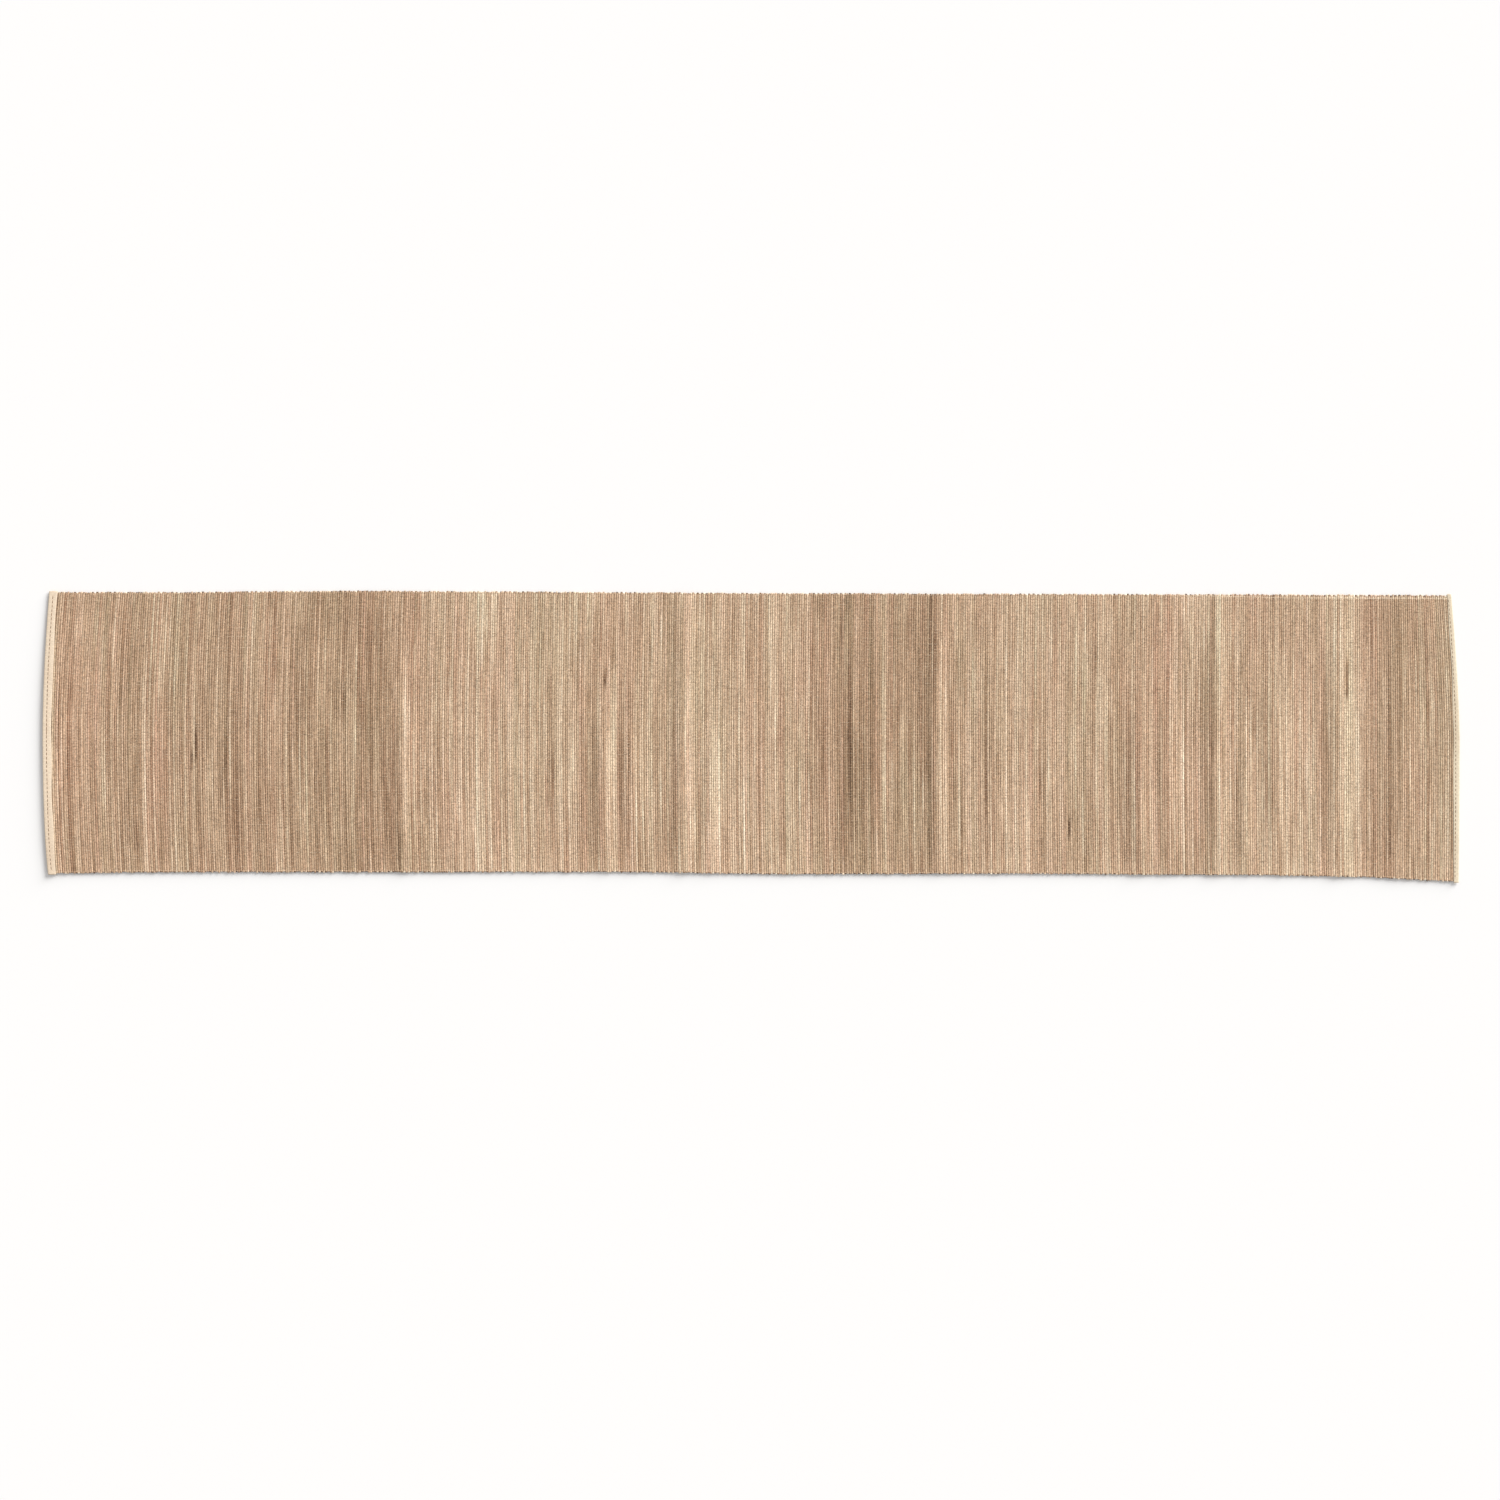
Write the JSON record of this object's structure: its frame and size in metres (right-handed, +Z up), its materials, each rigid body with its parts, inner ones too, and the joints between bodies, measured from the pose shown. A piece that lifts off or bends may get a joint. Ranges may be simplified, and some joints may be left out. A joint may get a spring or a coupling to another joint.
{
  "type": "table runner",
  "caption": "Long rectangular table runner of stiff natural plant-fibre ribs woven across its width on fine warp threads, with a sewn cloth binding at each cut end.",
  "frame": {"origin": "on the table under the middle of the runner", "axes": "+X along the runner to its right end, +Y across it to its back edge, +Z up out of its upper face"},
  "size_m": [1.8, 0.36, 0.002],
  "materials": {
    "fibre_rib": "matte natural plant fibre, streaked cream, tan and reddish brown",
    "warp_thread": "matte fine spun thread",
    "selvedge_cord": "matte spun cord",
    "binding_tape": "matte plain-woven cream tape",
    "seam_thread": "matte twisted sewing thread"
  },
  "bodies": {
    "left_half": {"left_half_ribs": "fibre_rib", "left_half_selvedge_back": "selvedge_cord", "left_half_selvedge_front": "selvedge_cord", "left_half_warp_lower": "warp_thread", "left_half_warp_upper": "warp_thread"},
    "left_fold": {"left_fold_ribs": "fibre_rib", "left_fold_selvedge_back": "selvedge_cord", "left_fold_selvedge_front": "selvedge_cord", "left_fold_warp_lower": "warp_thread", "left_fold_warp_upper": "warp_thread"},
    "left_end": {"left_end_ribs": "fibre_rib", "left_end_selvedge_back": "selvedge_cord", "left_end_selvedge_front": "selvedge_cord", "left_end_warp_lower": "warp_thread", "left_end_warp_upper": "warp_thread", "left_binding": "binding_tape", "left_needle_thread": "seam_thread", "left_bobbin_thread": "seam_thread"},
    "centre_fold": {"centre_fold_ribs": "fibre_rib", "centre_fold_selvedge_back": "selvedge_cord", "centre_fold_selvedge_front": "selvedge_cord", "centre_fold_warp_lower": "warp_thread", "centre_fold_warp_upper": "warp_thread"},
    "right_half": {"right_half_ribs": "fibre_rib", "right_half_selvedge_back": "selvedge_cord", "right_half_selvedge_front": "selvedge_cord", "right_half_warp_lower": "warp_thread", "right_half_warp_upper": "warp_thread"},
    "right_fold": {"right_fold_ribs": "fibre_rib", "right_fold_selvedge_back": "selvedge_cord", "right_fold_selvedge_front": "selvedge_cord", "right_fold_warp_lower": "warp_thread", "right_fold_warp_upper": "warp_thread"},
    "right_end": {"right_end_ribs": "fibre_rib", "right_end_selvedge_back": "selvedge_cord", "right_end_selvedge_front": "selvedge_cord", "right_end_warp_lower": "warp_thread", "right_end_warp_upper": "warp_thread", "right_binding": "binding_tape", "right_needle_thread": "seam_thread", "right_bobbin_thread": "seam_thread"}
  },
  "joints": [
    {"name": "left_end_fold", "type": "hinge", "parent": "left_half", "child": "left_fold", "pos_m": [-0.456, 0, 0.001], "axis": [0, 1, 0], "range_deg": [-45, 90]},
    {"name": "left_end_fold_outer", "type": "hinge", "parent": "left_fold", "child": "left_end", "pos_m": [-0.4617, 0, 0.001], "axis": [0, 1, 0], "range_deg": [-45, 90]},
    {"name": "centre_fold", "type": "hinge", "parent": "left_half", "child": "centre_fold", "pos_m": [-0.00855, 0, 0.001], "axis": [0, -1, 0], "range_deg": [0, 90]},
    {"name": "centre_fold_outer", "type": "hinge", "parent": "centre_fold", "child": "right_half", "pos_m": [0.00855, 0, 0.001], "axis": [0, -1, 0], "range_deg": [0, 90]},
    {"name": "right_end_fold", "type": "hinge", "parent": "right_half", "child": "right_fold", "pos_m": [0.456, 0, 0.001], "axis": [0, -1, 0], "range_deg": [-45, 90]},
    {"name": "right_end_fold_outer", "type": "hinge", "parent": "right_fold", "child": "right_end", "pos_m": [0.4617, 0, 0.001], "axis": [0, -1, 0], "range_deg": [-45, 90]}
  ],
  "couplings": [
    {"joint": "left_end_fold_outer", "follows": "left_end_fold", "ratio": 1},
    {"joint": "centre_fold_outer", "follows": "centre_fold", "ratio": 1},
    {"joint": "right_end_fold_outer", "follows": "right_end_fold", "ratio": 1}
  ]
}
